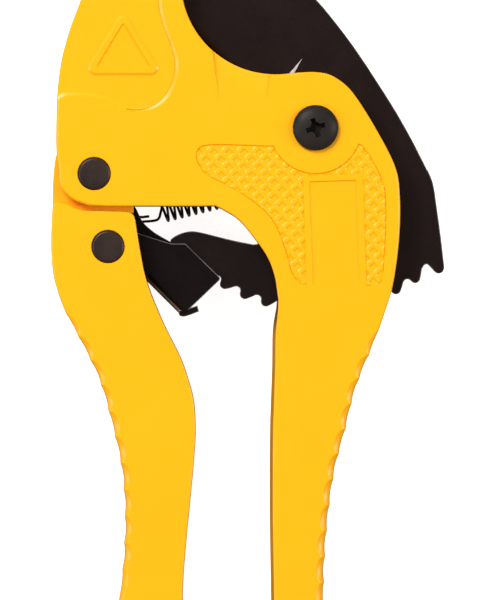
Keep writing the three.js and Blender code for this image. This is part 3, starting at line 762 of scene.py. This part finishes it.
def knurl():
    """Diamond pockets between crossed ridges, clipped to the recessed field."""
    pitch = 3.8
    height = 0.36
    pocket_half = 0.34
    flank = 0.5
    divisions = 8
    first_pocket = np.array([-27.3, -6.4])
    columns = np.arange(-2 * divisions, 21 * divisions + 1) / divisions
    rows = np.arange(-10 * divisions, 13 * divisions + 1) / divisions
    v, u = np.meshgrid(rows, columns, indexing="ij")
    to_ridge = np.maximum(np.abs(u % 1 - 0.5), np.abs(v % 1 - 0.5)) * 2
    climb = np.clip((to_ridge - pocket_half) / flank, 0, 1)
    rise = height * climb * climb * (3 - 2 * climb)
    x = first_pocket[0] + (u + v) * pitch / 2
    y = first_pocket[1] + (v - u) * pitch / 2
    base = FACE_Z - FIELD_SINK - 0.05
    top = np.column_stack([x.ravel(), y.ravel(), (base + rise).ravel()])
    under = top.copy()
    under[:, 2] = base - 0.4
    depth, width = u.shape
    size = depth * width
    faces = []
    for j in range(depth - 1):
        for i in range(width - 1):
            a = j * width + i
            faces.append((a, a + width, a + width + 1, a + 1))
            faces.append((size + a, size + a + 1, size + a + width + 1, size + a + width))
    rim = list(range(width))
    rim += [j * width + width - 1 for j in range(1, depth)]
    rim += [(depth - 1) * width + i for i in range(width - 2, -1, -1)]
    rim += [j * width for j in range(depth - 2, 0, -1)]
    for a, b in zip(rim, rim[1:] + rim[:1]):
        faces.append((a, b, size + b, size + a))
    ridges = outwards(solid("knurl", np.concatenate([top, under]), faces))
    keep = prism("keep", inset_loop(field_outline(), 0.3), FACE_Z - 3, FACE_Z + 1)
    keep = cut(keep, prism("panel", plate_frame(), FACE_Z - 4, FACE_Z + 2))
    return combine(ridges, [keep], "INTERSECT")


def inset_loop(loop, distance):
    return untangled(loop + inward(loop) * distance, loop)


def hull(name, points):
    """The convex solid round a few points."""
    obj = solid(name, np.array(points, float), [])
    bm = bmesh.new()
    bm.from_mesh(obj.data)
    bmesh.ops.convex_hull(bm, input=bm.verts)
    bm.to_mesh(obj.data)
    bm.free()
    return outwards(obj)


def seat_ramp():
    """The front face falls away gently where it meets the bottom of the pipe seat."""
    fall = 0.085
    foot = 6.9
    over = 0.4
    corners = [(-24.1, 6.6, -1), (-25.9, 24, -1), (-10.9, 17, 1), (-12.25, 6.6, 1)]
    low, high = [], []
    for x, y, side in corners:
        depth = fall * (y - foot) + (0.1 if y > foot else 0)
        low.append((x, y, FACE_Z - depth))
        high.append((x + side * 0.45 * (depth + over), y, FACE_Z + over))
    return hull("seat ramp", low + high)


def pin_seat(centre):
    """Hole for a headed pin, with a pocket for the clip behind."""
    over = FACE_Z + 1
    lip = PIN_HEAD_R + 0.12
    bore = PIN_R + RUN
    profile = [(0, -1), (CLIP_POCKET_R, -1), (CLIP_POCKET_R, CLIP_POCKET_DEPTH), (bore, CLIP_POCKET_DEPTH),
               (bore, FACE_Z - PIN_HEAD_DEPTH), (lip, FACE_Z - PIN_HEAD_DEPTH), (lip, FACE_Z - 0.15),
               (lip + 0.2, FACE_Z + 0.02), (lip + 0.3, over), (0, over)]
    return turned("pin seat", centre, profile)


def body_piece():
    body = casting("body_casting_skin", BODY_SECTIONS)
    cut(body, body_cavity(), *blade_slots(), *pad_recess())
    join(body, triangle_frame())
    cut(body, triangle_recess(), field_recess(), panel_recess(), seat_ramp())
    join(body, knurl())
    cut(body, through_hole(PIVOT, SCREW_R + RUN, 64),
        prism("nut pocket", circle(PIVOT, NUT_POCKET_R), -1, NUT_POCKET_DEPTH),
        pin_seat(LEVER_PIN),
        through_hole(LATCH_PIVOT, LATCH_HOLE_R))
    return painted(body)


def through_hole(centre, r, sides=32):
    """A cutter for a round hole from face to face."""
    return prism("hole", circle(centre, r, sides), -1, FACE_Z + 1)


def painted(casting_piece):
    """Yellow all over, with darker paint on the floor of the hollow as painted shade."""
    finish_with(soften(casting_piece, 22), PAINT)
    casting_piece.data.materials.append(PAINT_HOLLOW_SHADE)
    # Upward faces on the hollow's floor get the darker paint, which is painted shade.
    hollow_floor = (MID_Z - CAVITY_HALF) * MM
    for face in casting_piece.data.polygons:
        if face.normal.z > 0.9 and abs(face.center.z - hollow_floor) < 0.2 * MM:
            face.material_index = 1
    return casting_piece


# ---------------------------------------------------------------- lever


def lever_piece():
    lever = casting("lever_casting_skin", LEVER_SECTIONS)
    tongue = closed(
        spline([(-65.9, -19), (-65.6, -11.5), (-64.6, -6), (-61, -2.4), (-55.3, -1.7), (-49.6, -4),
                (-46.4, -9), (-46.1, -13.5), (-45.5, -18)]),
        [(-45.6, -22), (-50, -26), (-64, -26)],
    )
    join(lever, prism("tongue", tongue, MID_Z - TONGUE_HALF, MID_Z + TONGUE_HALF, 0.25))
    hollow = closed(
        spline([(-60, -22.2), (-62, -27), (-62, -34), (-60, -42), (-57.5, -47.5), (-50.3, -62.8),
                (-47.2, -73.5), (-45, -83.5), (-44, -92), (-43.8, -100), (-44.2, -110), (-45.5, -122),
                (-46.8, -134), (-45.5, -140), (-41, -142)], 1.5),
        [(-25, -142), (-25, -40), (-40, -21.2), (-50, -21.2)],
    )
    cut(lever, prism("hollow", hollow, MID_Z - CAVITY_HALF, MID_Z + CAVITY_HALF),
        arm_slot(),
        through_hole(LEVER_PIN, PIN_R + RUN, 64),
        pin_seat(PAWL_PIN),
        through_hole(CATCH_PIN, CATCH_HOLE_R))
    return painted(lever)


def arm_slot():
    """Room in the tongue for the pawl's raised arm and the spring's hook, round the hinge's hub."""
    corners = closed([(-56, -24), (-40, -24), (-40, -13.5), (-56, -13.5)])
    slot = prism("arm slot", corners, MID_Z - ARM_SLOT_HALF, MID_Z + ARM_SLOT_HALF)
    return cut(slot, prism("hub", circle(LEVER_PIN, HUB_R), 0, FACE_Z))


# ---------------------------------------------------------------- blade

# (degrees past the tip, radius) along one tooth.
TOOTH_PROFILE = [(2.7, 44.25), (2, 44.7), (1.65, 45.6), (1.1, 46.2), (0.4, TOOTH_TIP_R), (-0.5, 46.3),
                 (-2, 45.3), (-3.4, 44.3)]
LAST_TOOTH = [(27.85, -34.05), (29.2, -35.15), (30.1, -36.1), (31.0, -36.4), (31.85, -36.05), (32.3, -35.3)]


def polar(r, degrees):
    a = math.radians(degrees)
    return (r * math.cos(a), r * math.sin(a))


def ratchet():
    """The teeth along the tail, from the far end of the sector to the last one."""
    points = []
    for i in range(TOOTH_COUNT - 1, 0, -1):
        tip = FIRST_TOOTH + TOOTH_PITCH * i
        points += [polar(r, -(tip + turn)) for turn, r in TOOTH_PROFILE]
    return spline(points + LAST_TOOTH, 0.35)


def blade_outline():
    return closed(
        spline([(32.36, -34.7), (31.6, -28), (30.65, -21), (29.45, -13.5), (28.3, -10.6)]),
        spline([(28.1, -10.4), (24.35, -3), (20.1, 4.5), (15.35, 12), (8.6, 22), (0.6, 32), (-9.5, 42),
                (-20, 50), (-30, 54.7), (-38, 54.4), (-43.5, 48.5), EDGE_TIP]),
        spline([EDGE_HEEL, (-13, 2.5), (-13.3, -4), (-12.6, -12), (-12.2, -20), (-12.8, -26),
                (-14.6, -29)]),
        spline([(-15.6, -29.1), (-21.4, -27.9), (-29.7, -25.9), (-31.4, -25.8), (-33.9, -26.4),
                (-36.3, -27.9), (-36.4, -28.9)], 0.5),
        ratchet(),
    )


def ground_side(side):
    """The wedge that grinding takes off one side of the cutting edge."""
    heel, tip = np.array(EDGE_HEEL), np.array(EDGE_TIP)
    along = (tip - heel) / np.linalg.norm(tip - heel)
    inwards = np.array([along[1], -along[0]])
    over = BLADE_HALF + 1
    profile = [(-1, 0.12), (0, 0.12), (HONED_WIDTH, 0.55), (BEVEL_WIDTH, BLADE_HALF), (BEVEL_WIDTH, over),
               (-1, over)]
    section = [(step, MID_Z + side * z) for step, z in profile]
    return swept("grind", heel - along * 0.5, tip + along * 9, inwards, section)


def blade_piece():
    blade = prism("blade_skin", blade_outline(), MID_Z - BLADE_HALF, MID_Z + BLADE_HALF, 0.22)
    cut(blade, ground_side(1), ground_side(-1), prism("bore", circle(PIVOT, SLEEVE_R + RUN), 0, FACE_Z))
    soften(blade)
    finish_with(blade, BLADE_BLACK)
    blade.data.materials.append(GROUND)
    wear_and_highlight_edges(blade)
    heel, tip = place([*EDGE_HEEL, MID_Z]), place([*EDGE_TIP, MID_Z])
    along = (tip - heel) / np.linalg.norm(tip - heel)
    for face in blade.data.polygons:
        n = face.normal
        off = np.array(face.center) - heel
        from_edge = abs(off[0] * along[1] - off[1] * along[0])
        if 0.5 < abs(n.z) < 0.97 and from_edge < HONED_WIDTH * MM:
            face.material_index = 1
    return blade


def grind_glint():
    """The thin bright sliver where the ground bevel runs out near the pivot: ground steel, and a painted
    glint.
    """
    z = MID_Z + BLADE_HALF
    loop = closed([(-7.1, 13.2), (-5.7, 13.2), (-4.5, 15.4), (-3.3, 17.6), (-4.9, 15.7)])
    # A thin patch of bright ground steel that is also a painted glint.
    return finish_with(prism("grind_glint", loop, z - 0.1, z + 0.02), GROUND)


# ---------------------------------------------------------------- pawl

FOLD_TOP = np.array([-42.6, -38.0])
FOLD_END = np.array([-33.9, -46.7])
FOLD_ALONG = (FOLD_END - FOLD_TOP) / np.linalg.norm(FOLD_END - FOLD_TOP)
FOLD_INTO = np.array([-FOLD_ALONG[1], FOLD_ALONG[0]])


def flange_outline(arm):
    """One of the pawl's two flanges. Only the back one has the raised arm."""
    around = arc(PAWL_PIN, PAWL_EYE_R, 250, 96)
    raised = spline([(-48, -19.9), (-46.6, -18.6), (-45.3, -19.6), (-43.3, -23.4), (-40.6, -25.9),
                     (-36.6, -28.3)])
    plain = [(-44.2, -26.4), (-36.2, -28.9)]
    nose = rounded_polygon([(-33.6, -47.2), (-23.65, -37.65), (-32.6, -28.9), (-60, -28.9)], 0.7, 5)
    nose = nose[nose[:, 0] > -36.3]
    inside = (-36, -38)
    order = np.argsort(-np.arctan2(nose[:, 1] - inside[1], nose[:, 0] - inside[0]))
    return closed(around, raised if arm else plain, nose[order], [FOLD_TOP])


def fold():
    """The folded web: a channel section swept along the pawl's lower edge."""
    reach = 2.6

    def bend(r, web, half, steps):
        """One side of the channel, from its mouth round the corner of the fold."""
        side = [(reach, half)]
        for a in np.linspace(0, math.pi / 2, steps):
            side.append((web + r - r * math.sin(a), half - r + r * math.cos(a)))
        return side + [(n, -z) for n, z in reversed(side)]

    section = bend(2.2, 0, PAWL_OUTER, 8) + bend(0.7, SHEET, PAWL_INNER, 5)[::-1]
    section = [(n, MID_Z + z) for n, z in section]
    return swept("fold", FOLD_TOP - FOLD_ALONG * 0.4, FOLD_END + FOLD_ALONG * 0.5, FOLD_INTO, section)


def pawl_piece():
    """Two flanges joined by the fold, with the short tongue at its end."""
    z = MID_Z
    pawl = prism("pawl_skin", flange_outline(False), z + PAWL_INNER, z + PAWL_OUTER, 0.2)
    back = prism("back flange", flange_outline(True), z - PAWL_OUTER, z - PAWL_INNER, 0.2)
    join(pawl, back)
    top, end = FOLD_TOP - FOLD_ALONG * 0.4, FOLD_END + FOLD_ALONG * 3
    below, above = FOLD_INTO * -3, FOLD_INTO * 2.3
    strip = [top + below, end + below, end + above, top + above]
    cut(pawl, prism("strip", closed(strip), 0, FACE_Z))
    join(pawl, fold())
    tip = closed(spline([(-34.4, -45.6), (-34.1, -46.9), (-33.1, -47.2), (-31.5, -46.8), (-29.2, -45.9)],
                        0.3),
                 [(-29.6, -44.4), (-31.9, -45.2), (-32.8, -45.3)])
    join(pawl, prism("tongue", tip, z - PAWL_OUTER + 0.3, z + PAWL_OUTER - 0.3, 0.2))
    cut(pawl, prism("bore", circle(PAWL_PIN, PIN_R + RUN), 0, FACE_Z))
    finish_with(soften(pawl), PAWL_BLACK)
    wear_and_highlight_edges(pawl)
    return pawl


def wear_and_highlight_edges(obj):
    """Lighter bare metal on the narrow chamfers: edge wear, and a painted highlight along the edges."""
    obj.data.materials.append(WORN_AND_HIGHLIGHT)
    for face in obj.data.polygons:
        if 0.5 < abs(face.normal.z) < 0.9 and face.area < 6 * MM * MM:
            face.material_index = len(obj.data.materials) - 1


# ---------------------------------------------------------------- screw, pins, spring


def screw_piece():
    """Pan head screw with a tapered cross recess."""
    top = FACE_Z + SCREW_HEAD_H
    dome = []
    for a in np.linspace(8, 82, 9):
        r = SCREW_HEAD_R * math.cos(math.radians(a)) ** 0.72
        dome.append((r, FACE_Z + 0.75 + (SCREW_HEAD_H - 0.75) * math.sin(math.radians(a)) ** 1.15))
    profile = [(0, 0.4), (2.5, 0.4), (SCREW_R, 0.9), (SCREW_R, FACE_Z), (SCREW_HEAD_R - 0.25, FACE_Z),
               (SCREW_HEAD_R, FACE_Z + 0.25), (SCREW_HEAD_R, FACE_Z + 0.6), *dome, (0, top)]
    screw = turned("pivot_screw_skin", PIVOT, profile, 72)
    half_length, half_width = 2.45, 0.6
    corners = [(-half_length, -half_width), (half_length, -half_width), (half_length, half_width),
               (-half_length, half_width)]
    for turn in (RECESS_TURN, RECESS_TURN + 90):
        cut(screw, loft("wing", turned_flat(corners, turn), [(top - 2.2, 0.2), (top + 0.5, -0.04)]))
    core = turned("core", PIVOT, [(0, top - 2.6), (0.7, top - 2.5), (1.42, top - 0.5), (1.5, top + 0.6),
                                  (0, top + 0.6)], 32)
    cut(screw, core)
    return finish_with(soften(screw, 38), SCREW_BLACK)


def pin_piece(name, centre):
    """Pin whose slightly domed head stands a little proud of the face."""
    top = FACE_Z + PIN_PROUD
    under = FACE_Z - PIN_HEAD_DEPTH
    profile = [(0, 0.3), (PIN_R - 0.4, 0.3), (PIN_R, 0.7), (PIN_R, under), (PIN_HEAD_R, under),
               (PIN_HEAD_R, top - 0.5), (PIN_HEAD_R - 0.1, top - 0.28), (PIN_HEAD_R - 0.3, top - 0.12),
               (PIN_HEAD_R - 0.6, top - 0.04), (2.6, top - 0.02), (1.2, top - 0.08), (0, top - 0.1)]
    return finish_with(soften(turned(name + "_skin", centre, profile), 50), PIN_BLACK)


def spring_path():
    """The wire's middle line: the hook on the lever's post, the coil, then the loop on the body's post."""
    slope = math.radians(SPRING_SLOPE)
    along = np.array([math.cos(slope), math.sin(slope), 0])
    across = np.array([-along[1], along[0], 0])
    start = np.array([*COIL_START, SPRING_Z])
    bend = LEVER_POST_R + WIRE_R + 0.05
    hook = [(-41.7, -22.0), (-42.7, -22.1), (-43.6, -22.2), (-45.2, -22.05)]
    hook += list(arc(LEVER_POST, bend, 80, 262, 0.35))
    hook += [(-45.2, -23.7), (-43.5, -23.35), (-42, -23.25), (-40.6, -23.1), (-39.7, -22.85),
             (-39.2, -22.3), (-38.95, -21.4)]
    points = [(x, y, SPRING_Z) for x, y in spline(hook, 0.3)]
    turns = 32
    for i in range(COIL_TURNS * turns + 1):
        a = math.pi / 2 + 2 * math.pi * i / turns
        grow = min(1, (i + 4) / 12, (COIL_TURNS * turns - i + 4) / 12)
        p = start + along * COIL_PITCH * i / turns + across * COIL_R * grow * math.sin(a)
        points.append(tuple(p + np.array([0, 0, COIL_R * grow * math.cos(a)])))
    loop = BODY_POST_R + WIRE_R + 0.05
    points += [(x, y, SPRING_Z) for x, y in arc(BODY_POST, loop, 160, -150, 0.35)]
    return np.array(points)


def wire(name, points, radius, sides=10):
    """A round wire along a line of points, with closed ends."""
    vertices, faces = [], []
    normal = np.array([0, 0, 1.0])
    for i, p in enumerate(points):
        t = points[min(i + 1, len(points) - 1)] - points[max(i - 1, 0)]
        t /= np.linalg.norm(t)
        normal = normal - t * (normal @ t)
        normal /= np.linalg.norm(normal)
        other = np.cross(t, normal)
        for k in range(sides):
            a = 2 * math.pi * k / sides
            vertices.append(p + radius * (normal * math.cos(a) + other * math.sin(a)))
        if i:
            for k in range(sides):
                a, b = (i - 1) * sides + k, (i - 1) * sides + (k + 1) % sides
                faces.append((a, b, b + sides, a + sides))
    last = (len(points) - 1) * sides
    faces.append(tuple(reversed(range(sides))))
    faces.append(tuple(range(last, last + sides)))
    return solid(name, np.array(vertices), faces)


def spring_piece():
    spring = finish_with(wire("return_spring_skin", spring_path(), WIRE_R), SPRING_BLACK)
    for face in spring.data.polygons:
        face.use_smooth = True
    return spring


# ---------------------------------------------------------------- put together


def shown(piece, body, node=None):
    """Fixes a piece to its body and lets it stand for a CAD node, whose own part is hidden."""
    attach(piece, body)
    if node:
        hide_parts(node)


shown(body_piece(), "body", "body_casting")
shown(lever_piece(), "lever", "lever_casting")
shown(blade_piece(), "blade", "blade")
shown(grind_glint(), "blade")
shown(pawl_piece(), "pawl", "pawl")
shown(screw_piece(), "body", "pivot_screw")
shown(pin_piece("lever_pin", LEVER_PIN), "body", "lever_pin")
shown(pin_piece("pawl_pin", PAWL_PIN), "lever", "pawl_pin")

spring_skin = spring_piece()
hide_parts("return_spring")
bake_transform(spring_skin)

for node_name, cad_node in frame["nodes"].items():
    if cad_node.hide_render:
        continue
    finish_with(cad_node, ZINC)
    edge = cad_node.modifiers.new("edge", "BEVEL")
    edge.width = 0.12 * MM
    edge.segments = 2
    edge.limit_method = "ANGLE"
    edge.angle_limit = math.radians(40)


# ---------------------------------------------------------------- floor, light, camera


def floor():
    """A plain pale floor just under the object, which throws no light on it."""
    size = 3.0
    corners = [(-size, -size, 0), (size, -size, 0), (size, size, 0), (-size, size, 0)]
    mesh = bpy.data.meshes.new("floor")
    mesh.from_pydata(corners, [], [(0, 1, 2, 3)])
    obj = bpy.data.objects.new("floor", mesh)
    obj.location.z = -0.0002
    bpy.context.scene.collection.objects.link(obj)
    mat, nodes, links, shader = material("floor_white")
    shader.inputs["Base Color"].default_value = (0.85, 0.85, 0.85, 1)
    shader.inputs["Roughness"].default_value = 0.9
    shader.inputs["Emission Color"].default_value = (1, 1, 1, 1)
    shader.inputs["Emission Strength"].default_value = 0.9
    mesh.materials.append(mat)
    obj.visible_diffuse = False
    obj.visible_glossy = False


def softbox(name, position, target, size, watts):
    light = bpy.data.lights.new(name, "AREA")
    light.shape = "RECTANGLE"
    light.size, light.size_y = size
    light.energy = watts
    obj = bpy.data.objects.new(name, light)
    obj.location = position
    obj.rotation_euler = (Vector(target) - Vector(position)).to_track_quat("-Z", "Y").to_euler()
    bpy.context.scene.collection.objects.link(obj)


def world():
    w = bpy.data.worlds.new("studio")
    w.use_nodes = True
    background = w.node_tree.nodes["Background"]
    background.inputs["Color"].default_value = (1, 1, 1, 1)
    background.inputs["Strength"].default_value = 0.3
    bpy.context.scene.world = w


def camera():
    """Straight above, long lens. The picture is 122.5 by 150 mm at the front face."""
    picture_height = 150 * MM
    distance = 2.7
    centre = place([-17.65, -43.03, FACE_Z])
    data = bpy.data.cameras.new("camera")
    data.sensor_fit = "VERTICAL"
    data.sensor_height = 24
    data.lens = 24 * distance / picture_height
    data.clip_start = 0.05
    obj = bpy.data.objects.new("camera", data)
    obj.location = (centre[0], centre[1], centre[2] + distance)
    bpy.context.scene.collection.objects.link(obj)
    bpy.context.scene.camera = obj


floor()
world()
softbox("key", (-0.7, 0.95, 1.25), (0, 0, 0), (0.7, 0.7), 26)
softbox("left", (-1.4, -0.1, 0.9), (0, 0, 0), (0.5, 1.0), 9)
softbox("right", (1.3, 0.1, 0.9), (0, 0, 0), (0.5, 1.0), 15)
camera()

view_settings = bpy.context.scene.view_settings
view_settings.view_transform = "Standard"
